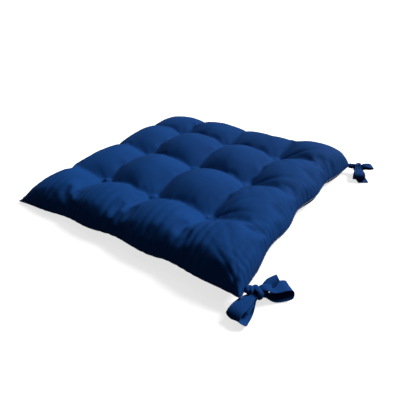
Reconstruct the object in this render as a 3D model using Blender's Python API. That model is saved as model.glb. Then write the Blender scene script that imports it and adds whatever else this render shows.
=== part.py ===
"""Square tufted chair cushion with two bow ties, modelled as its separate sewn pieces.

Frame: metres, +Z up, origin at the centre of the underside on the surface that it lies on.
-Y is the front edge of the cushion and +Y the rear edge, where the two ties are sewn on.
"""

import math

import bmesh
import bpy
from mathutils import Vector

MM = 0.001

# Cushion, to the tips of the corners. A value is given for each side: how far its middle is
# drawn in between the corners, how much higher the seam runs there, and how full it is.
HALF = 200 * MM
PULL = {"right": 7 * MM, "left": 12 * MM, "rear": 14 * MM, "front": 14 * MM}
SIDE_LIFT = {"right": 2 * MM, "left": 8 * MM, "rear": 4 * MM, "front": 4 * MM}
FULLNESS = {"right": 5.0, "left": 2.6, "rear": 4.0, "front": 3.2}
CORNER_Z = {(1, -1): 6 * MM, (1, 1): 20 * MM, (-1, 1): 12 * MM, (-1, -1): 14 * MM}
CROWN = 50 * MM  # rise of a pillow above the seam
BASE_FULLNESS = 8.0  # the underside curves up only close to the seam
BASE_REACH = 1.1

# Tufts: three rows of three
TUFT_PITCH_X = 107 * MM
TUFT_PITCH_Y = 98 * MM
TUFT_ROWS = (-1, 0, 1)
TUFT_PAD = 6 * MM  # half the small flat that the thread draws down
OUTER_LINES = (0.22, 0.45, 0.70, 0.90, 1.0)  # grid lines from the outer tufts to the edge
ON_LINE = 0.05 * MM  # tolerance for a grid point that lies on the flat's edge
VALLEY_KEEP = 0.60  # share of the crown that is left along the line of a row of tufts
VALLEY_WIDTH = 20 * MM
VALLEY_POWER = 1.2
DIMPLE_DEPTH = 9 * MM
DIMPLE_RADIUS = 36 * MM

# Cloth, filling and thread
CLOTH = 0.8 * MM
RIM = 1.2 * MM  # width of the cloth's edge at the seam
SEAM_GAP = 0.8 * MM  # from the seam's middle to each cloth edge
FILLING_GAP = 1.0 * MM
SEAM_THREAD = 0.45 * MM
TUFT_THREAD = 0.6 * MM
TUFT_STITCH = 2.5 * MM  # half the stitch that shows at each end
TUFT_HOLE = 1.0 * MM
HOLE_SIDES = 8
HOLE_DEPTH = 200 * MM  # through the whole cushion
THREAD_LIFT = 0.95 * MM  # from the cloth to the middle of the thread on it
CLOSING_THREAD = 0.4 * MM
CLOSING_HALF = 50 * MM
CLOSING_STITCHES = 20
CLOSING_PROUD = 1.7 * MM  # the stitches stand this far outside the seam
CLOSING_RISE = 2.4 * MM  # and reach this far above and below it

# Ties
STRAP_WIDTH = 18 * MM
STRAP_THICK = 1.3 * MM
KNOT_WIDTH = 5 * MM  # a strap is gathered to this width inside the knot
NECK_WIDTH = 8 * MM
FULL_WIDTH_AT = 22 * MM  # distance from the knot where the gathers have opened out
STRAP_STEP = 2.6 * MM
KNOT_INSIDE = 4 * MM  # the straps run level from the knot's middle to here
KNOT_CLEAR = 9 * MM  # and open out from here
KNOT_TURN = 1.5 * MM  # beside the knot's middle, where a strap doubles back
NECK_MIDDLE = 0.5
LOOP_OPENING = 0.1  # share of its rise that a loop has made where it leaves the knot
LOOP_HIGH_AT = 0.45  # shares of a loop's length: where it is at its full height,
LOOP_TURNS_AT = 0.80  # where it begins to turn over,
LOOP_ROUND_AT = 0.96  # and where it is well into the turn
LOOP_SAG = 0.4 * MM  # the upper layer falls this far before it turns
LOOP_ROUND = 0.5  # share of the turn's height that is still to go there
TAIL_SETTLES_AT = 0.6  # share of a tail's length by which most of its fall is done,
TAIL_SETTLED = 0.8  # and the share of the fall
TACK_RADIUS = 2.6 * MM
TACK_HEIGHT = 4.4 * MM
TACK_SIDES = 16
TACK_ROUND = 0.6 * MM
TACK_REACH = 1.4 * MM  # from the seam to the tack
ROOT_LIFT = 1.3 * MM  # the two straps leave the tack one on the other
ROOT_REACH = 3.0 * MM  # they start this far from the tack's middle
ROOT_STRAIGHT = 2 * MM
KNOT_WALL = 1.3 * MM
KNOT_SIDES = 20
KNOT_SQUARE = 0.5  # power that squares the knot's oval

NAVY = (0.009, 0.045, 0.162, 1.0)
NAVY_DARK = (0.006, 0.030, 0.115, 1.0)
FIBRE_WHITE = (0.80, 0.80, 0.77, 1.0)


def clear_scene():
    for thing in list(bpy.data.objects):
        bpy.data.objects.remove(thing, do_unlink=True)


def material(name, colour, roughness):
    made = bpy.data.materials.new(name)
    made.use_nodes = True
    shader = made.node_tree.nodes["Principled BSDF"]
    shader.inputs["Base Color"].default_value = colour
    shader.inputs["Roughness"].default_value = roughness
    shader.inputs["Metallic"].default_value = 0.0
    return made


def mesh_object(name, bm, finish, parent=None):
    """A bmesh in world metres as a named object, kept in place under its parent's axis."""
    bmesh.ops.recalc_face_normals(bm, faces=bm.faces)
    mesh = bpy.data.meshes.new(name)
    if parent is not None:
        bmesh.ops.translate(bm, verts=bm.verts, vec=-parent["axis_at"])
    bm.to_mesh(mesh)
    bm.free()
    mesh.shade_smooth()
    mesh.materials.append(finish)
    made = bpy.data.objects.new(name, mesh)
    bpy.context.scene.collection.objects.link(made)
    if parent is not None:
        made.parent = parent["empty"]
    return made


def tube(name, points, radius, finish, closed=False, resolution=1):
    """A thread: a round bevel along straight runs between the points."""
    curve = bpy.data.curves.new(name, "CURVE")
    curve.dimensions = "3D"
    curve.bevel_depth = radius
    curve.bevel_resolution = resolution
    curve.use_fill_caps = True
    spline = curve.splines.new("POLY")
    spline.points.add(len(points) - 1)
    for knot, point in zip(spline.points, points):
        knot.co = (*point, 1.0)
    spline.use_cyclic_u = closed
    curve.materials.append(finish)
    made = bpy.data.objects.new(name, curve)
    bpy.context.scene.collection.objects.link(made)
    return made


# The cushion's two surfaces, over grid coordinates s and t that run from -1 to 1


def grid_lines(pitch):
    """Distances of the grid's lines from the middle: around the tufts, then out to the edge."""
    half = [TUFT_PAD]
    half += [pitch * k / 4 for k in (1, 2, 3)]
    half += [pitch - TUFT_PAD, pitch + TUFT_PAD]
    outer = HALF - half[-1]
    half += [half[-1] + outer * share for share in OUTER_LINES]
    return [-line for line in reversed(half)] + half


def both_ways():
    return grid_lines(TUFT_PITCH_X), grid_lines(TUFT_PITCH_Y)


def by_side(s, t, values):
    """The value of the side that s is nearest to, and of the side that t is nearest to."""
    return values["right" if s > 0 else "left"], values["rear" if t > 0 else "front"]


def plan(s, t):
    """Where a grid point lies, with the sides drawn in between the corners."""
    pull_x, pull_y = by_side(s, t, PULL)
    return HALF * s - pull_x * s**3 * (1 - t * t), HALF * t - pull_y * t**3 * (1 - s * s)


def seam_height(s, t):
    lift_x, lift_y = by_side(s, t, SIDE_LIFT)
    level = sum(z * (1 + a * s) / 2 * (1 + b * t) / 2 for (a, b), z in CORNER_Z.items())
    return level + lift_x * s * s * (1 - t * t) + lift_y * t * t * (1 - s * s)


def edge_rise(s, t, fullness):
    power_s, power_t = by_side(s, t, fullness)
    return math.sqrt(max(0.0, (1 - abs(s) ** power_s) * (1 - abs(t) ** power_t)))


def to_tuft(distance, pitch):
    """Signed distance along one axis to the nearest row of tufts, and that row's place."""
    row = min(TUFT_ROWS, key=lambda k: abs(distance - k * pitch)) * pitch
    return distance - row, row


def on_pad(s, t):
    """The grid point, moved to the tuft's middle where it lies on the tuft's flat."""
    dx, row_x = to_tuft(s * HALF, TUFT_PITCH_X)
    dy, row_y = to_tuft(t * HALF, TUFT_PITCH_Y)
    if abs(dx) < TUFT_PAD + ON_LINE and abs(dy) < TUFT_PAD + ON_LINE:
        return row_x / HALF, row_y / HALF
    return s, t


def valley_keep(distance, pitch):
    offset = abs(to_tuft(distance, pitch)[0])
    return 1 - (1 - VALLEY_KEEP) * math.exp(-((offset / VALLEY_WIDTH) ** VALLEY_POWER))


def top_height(s, t):
    s, t = on_pad(s, t)
    keep = valley_keep(s * HALF, TUFT_PITCH_X) * valley_keep(t * HALF, TUFT_PITCH_Y)
    return seam_height(s, t) + CROWN * edge_rise(s, t, FULLNESS) * keep


def base_height(s, t):
    s, t = on_pad(s, t)
    fall = min(1.0, BASE_REACH * edge_rise(s, t, dict.fromkeys(FULLNESS, BASE_FULLNESS)))
    dx = to_tuft(s * HALF, TUFT_PITCH_X)[0]
    dy = to_tuft(t * HALF, TUFT_PITCH_Y)[0]
    reach = math.hypot(dx, dy) / DIMPLE_RADIUS
    dimple = DIMPLE_DEPTH * max(0.0, 1 - reach * reach) ** 2
    return max(seam_height(s, t) * (1 - fall), dimple)


def surface(bm, lines, height):
    """One grid surface through the lines both ways, as a table of its vertices; height gives z."""
    table = {}
    for i, line_x in enumerate(lines[0]):
        for j, line_y in enumerate(lines[1]):
            s = line_x / HALF
            t = line_y / HALF
            edge = i in (0, len(lines[0]) - 1) or j in (0, len(lines[1]) - 1)
            table[i, j] = bm.verts.new((*plan(s, t), height(s, t, edge)))
    for i, j in table:
        if i and j:
            cell = [table[i - 1, j - 1], table[i, j - 1], table[i, j], table[i - 1, j]]
            # A cell is later cut from its first corner, so that the cut runs towards the pad's corner
            towards_corner = (2 * i > len(lines[0])) == (2 * j > len(lines[1]))
            bm.faces.new(cell if towards_corner else cell[1:] + cell[:1])
    return table


def rim_of(lines):
    """The grid places round the edge, in order."""
    end_x = len(lines[0]) - 1
    end_y = len(lines[1]) - 1
    ring = [(i, 0) for i in range(end_x)]
    ring += [(end_x, j) for j in range(end_y)]
    ring += [(i, end_y) for i in range(end_x, 0, -1)]
    ring += [(0, j) for j in range(end_y, 0, -1)]
    return ring


def closed_shell(outer_lines, outer_height, inner_lines, inner_height):
    """Two grid surfaces joined along their rims into one closed body."""
    bm = bmesh.new()
    outer = surface(bm, outer_lines, outer_height)
    inner = surface(bm, inner_lines, inner_height)
    ring = rim_of(outer_lines)
    for near, far in zip(ring, ring[1:] + ring[:1]):
        bm.faces.new((outer[near], outer[far], inner[far], inner[near]))
    bmesh.ops.recalc_face_normals(bm, faces=bm.faces)
    bmesh.ops.triangulate(bm, faces=bm.faces, quad_method="FIXED")
    return bm


def rim_lines():
    """The grid's lines with the outermost pair moved in by the cloth's edge."""
    return [[lines[0] + RIM] + lines[1:-1] + [lines[-1] - RIM] for lines in both_ways()]


def top_panel(finish):
    def outer(s, t, rim):
        return seam_height(s, t) + SEAM_GAP if rim else top_height(s, t)

    def inner(s, t, rim):
        return seam_height(s, t) + SEAM_GAP if rim else top_height(s, t) - CLOTH

    return mesh_object("cover_top_panel", closed_shell(both_ways(), outer, rim_lines(), inner), finish)


def bottom_panel(finish):
    def outer(s, t, rim):
        return seam_height(s, t) - SEAM_GAP if rim else base_height(s, t)

    def inner(s, t, rim):
        return seam_height(s, t) - SEAM_GAP if rim else base_height(s, t) + CLOTH

    bm = closed_shell(both_ways(), outer, rim_lines(), inner)
    return mesh_object("cover_bottom_panel", bm, finish)


def filling(finish):
    """The loose fibre, a body of its own that stops one grid line short of the seam."""
    drop = CLOTH + FILLING_GAP

    def upper(s, t, rim):
        return top_height(s, t) - drop

    def lower(s, t, rim):
        return base_height(s, t) + drop

    lines = [way[1:-1] for way in both_ways()]
    return mesh_object("fibre_filling", closed_shell(lines, upper, lines, lower), finish)


def tuft_places():
    """The nine tufts as (row, column, s, t)."""
    return [
        (row, column, row * TUFT_PITCH_X / HALF, column * TUFT_PITCH_Y / HALF)
        for row in TUFT_ROWS
        for column in TUFT_ROWS
    ]


def tuft_cutter():
    """Two narrow holes for each tuft's thread, as one hidden cutter."""
    bm = bmesh.new()
    for _, _, s, t in tuft_places():
        x, y = plan(s, t)
        for side in (-1, 1):
            made = bmesh.ops.create_cone(
                bm, cap_ends=True, segments=HOLE_SIDES, radius1=TUFT_HOLE, radius2=TUFT_HOLE, depth=HOLE_DEPTH
            )
            bmesh.ops.translate(bm, verts=made["verts"], vec=Vector((x + side * TUFT_STITCH, y, CROWN)))
    cutter = mesh_object("tuft_cutter", bm, None)
    cutter.hide_render = True
    cutter.display_type = "WIRE"
    return cutter


def cut_holes(piece, cutter):
    cut = piece.modifiers.new("tuft_holes", "BOOLEAN")
    cut.operation = "DIFFERENCE"
    cut.solver = "EXACT"
    cut.object = cutter


def tuft_stitches(finish):
    """Each tuft's thread: down through the cushion, under the base, back up and over."""
    for row, column, s, t in tuft_places():
        x, y = plan(s, t)
        high = top_height(s, t) + THREAD_LIFT
        low = base_height(s, t) - THREAD_LIFT
        corner = TUFT_THREAD
        loop = []
        for z, turn, side in ((high, -corner, 1), (low, corner, -1)):
            loop.append((x - side * TUFT_STITCH, y, z + turn))
            loop.append((x - side * (TUFT_STITCH - corner), y, z))
            loop.append((x + side * (TUFT_STITCH - corner), y, z))
            loop.append((x + side * TUFT_STITCH, y, z + turn))
        name = f"tuft_stitch_{row + 2}{column + 2}"
        tube(name, loop, TUFT_THREAD, finish, closed=True)


def seam_thread(finish):
    across, along = [[line / HALF for line in lines] for lines in both_ways()]
    ring = [(-1, t) for t in reversed(along)]
    ring += [(s, -1) for s in across[1:]]
    ring += [(1, t) for t in along[1:]]
    ring += [(s, 1) for s in reversed(across[1:-1])]
    points = [(*plan(s, t), seam_height(s, t)) for s, t in ring]
    return tube("perimeter_seam", points, SEAM_THREAD, finish, closed=True)


def closing_stitch(finish):
    """Hand stitches over the seam where the filling went in, on the -X side."""
    points = []
    for k in range(2 * CLOSING_STITCHES + 1):
        t = CLOSING_HALF * (k / CLOSING_STITCHES - 1) / HALF
        x, y = plan(-1, t)
        rise = CLOSING_RISE if k % 2 else -CLOSING_RISE
        points.append((x - CLOSING_PROUD, y, seam_height(-1, t) + rise))
    return tube("closing_stitch", points, CLOSING_THREAD, finish)


# The ties. Angles are seen from above, in degrees from +X; lengths and heights are in millimetres.


def axis_empty(name, place):
    """An empty on a joint's axis, which the moving pieces hang from."""
    empty = bpy.data.objects.new(name, None)
    empty.location = place
    bpy.context.scene.collection.objects.link(empty)
    return {"empty": empty, "axis_at": Vector(place)}


def around(centre, angle, distance, height):
    turn = math.radians(angle)
    return Vector((centre[0] + math.cos(turn) * distance, centre[1] + math.sin(turn) * distance, height))


def nearest_turn(angle, reference):
    return angle - 360 * round((angle - reference) / 360)


def tie_route(root, knot, strap):
    """A strap's route as (point, width, direction of its width), from the seam to its free end."""
    neck_angle = math.degrees(math.atan2(root.y - knot.y, root.x - knot.x))
    neck = (Vector(root.xy) - Vector(knot.xy)).length
    loop_angle, loop, loop_top, loop_low = strap["loop"]
    tail_angle, tail, tail_end = strap["tail"]
    enter, leave, back = (z * MM for z in strap["levels"])
    loop, loop_top, loop_low, tail, tail_end = (v * MM for v in (loop, loop_top, loop_low, tail, tail_end))
    bend = (loop_top + loop_low) / 2
    across_neck = neck_angle + 90
    across_loop = nearest_turn(loop_angle - 90, across_neck)
    across_tail = nearest_turn(tail_angle + 90, across_loop)
    middle = (across_neck + across_loop) / 2

    def leg(angle, across, distance, z):
        share = min(1.0, distance / FULL_WIDTH_AT)
        width = KNOT_WIDTH + (STRAP_WIDTH - KNOT_WIDTH) * share
        return around(knot, angle, distance, z), width, across

    halfway = around(knot, neck_angle, neck * NECK_MIDDLE, enter + strap["neck_rise"] * (root.z - enter))
    route = [(root, NECK_WIDTH, across_neck)]
    route.append((around(knot, neck_angle, neck - ROOT_STRAIGHT, root.z), NECK_WIDTH, across_neck))
    route.append((halfway, NECK_WIDTH, across_neck))
    route.append((around(knot, neck_angle, KNOT_INSIDE, enter), KNOT_WIDTH, across_neck))
    route.append((around(knot, middle + 90, KNOT_TURN, (enter + leave) / 2), KNOT_WIDTH, middle))
    # The loop: out as its upper layer, round the bend, and back as its lower layer
    for distance, z in (
        (KNOT_INSIDE, leave),
        (KNOT_CLEAR, leave + LOOP_OPENING * (loop_top - leave)),
        (LOOP_HIGH_AT * loop, loop_top),
        (LOOP_TURNS_AT * loop, loop_top - LOOP_SAG),
        (LOOP_ROUND_AT * loop, bend + LOOP_ROUND * (loop_top - bend)),
        (loop, bend),
        (LOOP_ROUND_AT * loop, bend - LOOP_ROUND * (bend - loop_low)),
        (LOOP_TURNS_AT * loop, loop_low),
        (LOOP_HIGH_AT * loop, loop_low),
        (KNOT_CLEAR, back),
        (KNOT_INSIDE, back),
    ):
        route.append(leg(loop_angle, across_loop, distance, z))
    route.append((around(knot, 0, 0, back), KNOT_WIDTH, (across_loop + across_tail) / 2))
    for distance, z in (
        (KNOT_INSIDE, back),
        (KNOT_CLEAR, back),
        (TAIL_SETTLES_AT * tail, back + TAIL_SETTLED * (tail_end - back)),
        (tail, tail_end),
    ):
        route.append(leg(tail_angle, across_tail, distance, z))
    return route


def smooth_route(route):
    """Stations about one step apart on a smooth curve through the route's points."""
    rows = [Vector((*point, width, math.radians(across))) for point, width, across in route]
    rows = [2 * rows[0] - rows[1]] + rows + [2 * rows[-1] - rows[-2]]
    made = []
    for before, start, end, after in zip(rows, rows[1:], rows[2:], rows[3:]):
        span = (Vector(end[:3]) - Vector(start[:3])).length
        steps = max(1, round(span / STRAP_STEP))
        for k in range(steps):
            u = k / steps
            made.append(
                0.5
                * (
                    2 * start
                    + (end - before) * u
                    + (2 * before - 5 * start + 4 * end - after) * u * u
                    + (3 * start - before - 3 * end + after) * u * u * u
                )
            )
    made.append(rows[-2])
    return made


def strap(name, route, finish, parent):
    """A flat strap: one closed strip, its width lying level and across the route."""
    stations = smooth_route(route)
    bm = bmesh.new()
    rings = []
    for k, station in enumerate(stations):
        ahead = Vector(stations[min(k + 1, len(stations) - 1)][:3])
        behind = Vector(stations[max(k - 1, 0)][:3])
        along = (ahead - behind).normalized()
        across = Vector((math.cos(station[4]), math.sin(station[4]), 0))
        face = along.cross(across).normalized()
        centre = Vector(station[:3])
        half = across * station[3] / 2
        lift = face * STRAP_THICK / 2
        corners = (centre - half - lift, centre + half - lift, centre + half + lift, centre - half + lift)
        rings.append([bm.verts.new(corner) for corner in corners])
    for near, far in zip(rings, rings[1:]):
        for k in range(4):
            bm.faces.new((near[k], near[(k + 1) % 4], far[(k + 1) % 4], far[k]))
    bm.faces.new(rings[0][::-1])
    bm.faces.new(rings[-1])
    return mesh_object(name, bm, finish, parent)


def knot_wrap(name, knot, wrap, finish, parent):
    """The turn of strap that holds a bow together: a short open band round its middle."""
    angle, length, half, low, high = wrap
    length, half, low, high = (v * MM for v in (length, half, low, high))
    bm = bmesh.new()
    middle = (low + high) / 2
    rise = (high - low) / 2
    rings = []
    for end, inset in ((-1, 0), (1, 0), (1, KNOT_WALL), (-1, KNOT_WALL)):
        ring = []
        for k in range(KNOT_SIDES):
            turn = 2 * math.pi * k / KNOT_SIDES
            wide = math.copysign(abs(math.cos(turn)) ** KNOT_SQUARE, math.cos(turn))
            tall = math.copysign(abs(math.sin(turn)) ** KNOT_SQUARE, math.sin(turn))
            side = around(knot, angle, end * length / 2, middle + (rise - inset) * tall)
            side += around((0, 0), angle + 90, (half - inset) * wide, 0)
            ring.append(bm.verts.new(side))
        rings.append(ring)
    for ring, following in zip(rings, rings[1:] + rings[:1]):
        for k in range(KNOT_SIDES):
            after = (k + 1) % KNOT_SIDES
            bm.faces.new((ring[k], ring[after], following[after], following[k]))
    return mesh_object(name, bm, finish, parent)


def tie_tack(name, middle, finish, parent):
    """The straps' rolled end, bound to the seam with thread; it is round, so that it can turn."""
    bm = bmesh.new()
    made = bmesh.ops.create_cone(
        bm,
        cap_ends=True,
        segments=TACK_SIDES,
        radius1=TACK_RADIUS,
        radius2=TACK_RADIUS,
        depth=TACK_HEIGHT,
    )
    bmesh.ops.translate(bm, verts=made["verts"], vec=middle)
    ends = [edge for edge in bm.edges if abs(edge.verts[0].co.z - edge.verts[1].co.z) < TACK_ROUND]
    bmesh.ops.bevel(bm, geom=ends, offset=TACK_ROUND, segments=2, affect="EDGES")
    return mesh_object(name, bm, finish, parent)


# Each tie: where along the rear seam it is sewn (s), its knot's place from there, the turn of
# strap round it (angle, length, half its breadth, lowest and highest), which strap is sewn on
# above the other, and the two straps.
TIES = {
    "right": {
        "sewn_at": 0.92,
        "knot": (-9, 18),
        "wrap": (-26, 6, 10.5, 2.8, 19.2),
        "upper": "b",
        "strap_a": {
            "levels": (12.9, 11.1, 6.9),
            "neck_rise": 0.2,
            "loop": (-8, 54, 12.6, 3.7),
            "tail": (188, 46, 4.4),
        },
        "strap_b": {
            "levels": (15.5, 15.3, 5.0),
            "neck_rise": 0.32,
            "loop": (151, 41, 16.0, 1.4),
            "tail": (-16, 34, 1.0),
        },
    },
    "left": {
        "sewn_at": -0.985,
        "knot": (-2, 18),
        "wrap": (77, 4, 13.5, 0.15, 14.2),
        "upper": "a",
        "strap_a": {
            "levels": (9.1, 10.9, 4.8),
            "neck_rise": 0.38,
            "loop": (33, 41, 13.0, 3.3),
            "tail": (120, 24, 3.6),
        },
        "strap_b": {
            "levels": (6.9, 7.7, 2.6),
            "neck_rise": 0.2,
            "loop": (121, 31, 10.0, 1.1),
            "tail": (42, 38, 1.0),
        },
    },
}


def tie(name, layout, strap_finish, thread_finish):
    """One tie: the sewn root on the swing axis, and the bow on the lift axis."""
    sewn_at = layout["sewn_at"]
    anchor = Vector((*plan(sewn_at, 1), seam_height(sewn_at, 1)))
    swing = axis_empty(f"{name}_swing_axis", anchor)
    lift = axis_empty(f"{name}_lift_axis", anchor)
    knot = anchor + Vector((*layout["knot"], 0)) * MM
    tack = anchor + Vector((0, TACK_REACH + TACK_RADIUS, 0))
    towards_knot = Vector((knot.x - tack.x, knot.y - tack.y, 0)).normalized()
    tie_tack(f"{name}_tie_tack", tack, thread_finish, swing)
    for letter in "ab":
        rise = ROOT_LIFT if letter == layout["upper"] else -ROOT_LIFT
        root = tack + towards_knot * ROOT_REACH + Vector((0, 0, rise))
        route = tie_route(root, knot, layout[f"strap_{letter}"])
        strap(f"{name}_strap_{letter}", route, strap_finish, lift)
    knot_wrap(f"{name}_bow_knot", knot, layout["wrap"], strap_finish, lift)


def main():
    clear_scene()
    cloth = material("cotton_cover", NAVY, 0.85)
    strap_cloth = material("cotton_strap", NAVY, 0.80)
    thread = material("sewing_thread", NAVY_DARK, 0.60)
    fibre = material("polyester_fibre", FIBRE_WHITE, 0.95)
    cutter = tuft_cutter()
    for piece in (top_panel(cloth), bottom_panel(cloth), filling(fibre)):
        cut_holes(piece, cutter)
    seam_thread(thread)
    closing_stitch(thread)
    tuft_stitches(thread)
    for name, layout in TIES.items():
        tie(name, layout, strap_cloth, thread)


main()
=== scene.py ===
# %% [markdown]
# # A tufted chair pad with two bow ties
#
# This lesson dresses a plain working model of a chair pad as the real thing. The pad is two squares
# of cotton, sewn together round their edges, stuffed, and drawn down by nine tuft threads. Two
# cotton ties hang from its rear corners, each knotted into a bow.
#
# The working model is the frame: it says where everything is and how the bows move. It could be
# rebuilt by hand here, but then the two would drift apart, so it is loaded and only added to.

# %% Load the frame
import math

import bmesh
import bpy
import numpy as np
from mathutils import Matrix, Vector


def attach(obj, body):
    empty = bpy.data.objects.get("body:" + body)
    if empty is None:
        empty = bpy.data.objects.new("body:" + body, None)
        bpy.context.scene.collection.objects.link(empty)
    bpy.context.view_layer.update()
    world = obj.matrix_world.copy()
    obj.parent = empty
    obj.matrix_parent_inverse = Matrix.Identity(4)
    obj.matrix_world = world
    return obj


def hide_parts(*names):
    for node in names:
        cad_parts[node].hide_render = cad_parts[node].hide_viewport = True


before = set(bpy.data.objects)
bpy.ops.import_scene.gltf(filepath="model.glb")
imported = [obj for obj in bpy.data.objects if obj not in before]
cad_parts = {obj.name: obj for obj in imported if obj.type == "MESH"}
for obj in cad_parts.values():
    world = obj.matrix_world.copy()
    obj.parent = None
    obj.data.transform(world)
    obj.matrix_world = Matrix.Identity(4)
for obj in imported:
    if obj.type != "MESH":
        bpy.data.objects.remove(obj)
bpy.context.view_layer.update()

# %% [markdown]
# ## Millimetres
#
# Sewing is measured in millimetres and Blender works in metres. Lengths are written as a number of
# millimetres times MM, so that each one reads as a maker would say it.

# %% Units and tidy selection
MM = 0.001


def select_only(*things):
    """Operators act on all that is selected, so everything else is deselected first."""
    if bpy.context.object is not None and bpy.context.object.mode != "OBJECT":
        bpy.ops.object.mode_set(mode="OBJECT")
    bpy.ops.object.select_all(action="DESELECT")
    for thing in things:
        thing.select_set(True)
    if things:
        bpy.context.view_layer.objects.active = things[0]


def mesh_piece(name, points, faces):
    """A new object at the origin with these points and faces, in metres."""
    mesh = bpy.data.meshes.new(name)
    places = [tuple(map(float, point)) for point in points]
    mesh.from_pydata(places, [], [tuple(map(int, face)) for face in faces])
    mesh.update()
    piece = bpy.data.objects.new(name, mesh)
    bpy.context.scene.collection.objects.link(piece)
    return piece


print("ready to work in steps of", MM, "m")

# %% [markdown]
# ## The camera
#
# The pad is seen from beside its right rear corner, from about the height of a person who looks
# down at a chair. The camera could be dragged there by hand. Here it is placed by two angles and a
# distance from the point that it looks at, so that each can be changed on its own.

# %% Camera
LOOK_AT = Vector((72 * MM, 59 * MM, 30 * MM))
CAMERA_TURN = math.radians(124.3)
CAMERA_RISE = math.radians(32.2)
CAMERA_DISTANCE = 584 * MM
towards_camera = Vector(
    (
        math.sin(CAMERA_TURN) * math.cos(CAMERA_RISE),
        -math.cos(CAMERA_TURN) * math.cos(CAMERA_RISE),
        math.sin(CAMERA_RISE),
    )
)
lens = bpy.data.cameras.new("camera")
lens.sensor_width = 36.0
lens.lens = 36.0
lens.clip_start = 0.01
camera = bpy.data.objects.new("camera", lens)
camera.location = LOOK_AT + towards_camera * CAMERA_DISTANCE
camera.rotation_euler = towards_camera.to_track_quat("Z", "Y").to_euler()
bpy.context.scene.collection.objects.link(camera)
bpy.context.scene.camera = camera
print("camera at", [round(v, 3) for v in camera.location])

# %% [markdown]
# ## The ties: where each strap runs
#
# A tie is two cotton straps, 18 mm wide, sewn into the corner of the pad at one end and knotted
# into a bow. Each strap runs from the corner to the knot, out as the upper layer of a loop, round
# the bend, back as the lower layer, through the knot again, and ends in a tail.
#
# A strap could be drawn point by point. It is easier to say it as a tailor would: how long the
# loop and the tail are, which way they point, and how high they lie.

# %% Facts of the straps
CORNER = 200 * MM  # from the middle of the pad to a corner, along each side
PULL = {"right": 7 * MM, "left": 12 * MM, "rear": 14 * MM, "front": 14 * MM}
SCALLOP = {"right": 2.2 * MM, "left": 1.2 * MM, "rear": 3.2 * MM, "front": 1.2 * MM}
TUFT_X = 107 * MM  # from tuft to tuft, across the pad
TUFT_Y = 98 * MM  # and from front to back
SIDE_LIFT = {"right": 2 * MM, "left": 8 * MM, "rear": 4 * MM, "front": 4 * MM}
CORNER_Z = {(1, -1): 3 * MM, (1, 1): 20 * MM, (-1, 1): 12 * MM, (-1, -1): 14 * MM}
STRAP_WIDTH = 18 * MM
KNOT_WIDTH = 5 * MM  # the strap is gathered to this inside the knot
NECK_WIDTH = 8 * MM  # and to this where it leaves the corner
FULL_WIDTH_AT = 22 * MM  # distance from the knot where the gathers have opened out
STRAP_STEP = 2.6 * MM
ROOT_LIFT = 1.0 * MM  # the two straps are sewn on one above the other
ROOT_STRAIGHT = 2.0 * MM
ROOT_INSIDE = 3.5 * MM  # the straps start this far inside the seam
LOOP_BEND_AT = 10  # the route's point at the loop's bend; the lower layer swings aside after it
KNOT_REACH = 4 * MM  # the strap is still flat in the knot at this distance from its middle
KNOT_CLEAR = 9 * MM  # and is out of the knot at this one
LOOP_FULL_AT = 0.45  # shares of the loop's length: where it is at its full height,
LOOP_TURNS_AT = 0.80  # where it starts to turn down,
LOOP_ROUND_AT = 0.96  # and where it is halfway round the bend
LOOP_SAG = 0.4 * MM
TIES = {
    "right": {
        "sewn_at": 0.92,
        "knot": (-7, 10),
        "lift": 5,
        "wrap": (-26, 7, 9.0, 8.5, 22.6),
        "upper": "b",
        "a": {
            "levels": (12.9, 11.1, 6.9), "neck_rise": 0.2,
            "loop": (-9, 43, 12.5, -2.5), "splay": 10, "tail": (164, 42, 12.0),
        },
        "b": {
            "levels": (15.5, 15.3, 5.0), "neck_rise": 0.32,
            "loop": (143, 43, 10.5, -2.5), "splay": -6, "tail": (-9, 27, 3.0),
        },
    },
    "left": {
        "sewn_at": -0.985,
        "knot": (-2, 12),
        "lift": 6,
        "wrap": (77, 6, 9.0, 6.0, 19.6),
        "upper": "a",
        "a": {
            "levels": (9.1, 10.9, 4.8), "neck_rise": 0.38,
            "loop": (24, 34, 9.0, -3.4), "splay": 0, "tail": (36, 32, -4.5),
        },
        "b": {
            "levels": (6.9, 7.7, 2.6), "neck_rise": 0.2,
            "loop": (122, 27, 9.6, 4.8), "splay": 4, "tail": (36, 37, -5.0),
        },
    },
}
print("two straps on each side:", ", ".join(TIES))


# %% Route of one strap
def around(centre, angle, distance, height):
    """The point at this distance from the centre, in the direction of the angle in degrees."""
    turn = math.radians(angle)
    return Vector((centre[0] + math.cos(turn) * distance, centre[1] + math.sin(turn) * distance, height))


def nearest_turn(angle, reference):
    """The same direction, written so that the strap turns the short way to it."""
    return angle - 360 * round((angle - reference) / 360)


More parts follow.
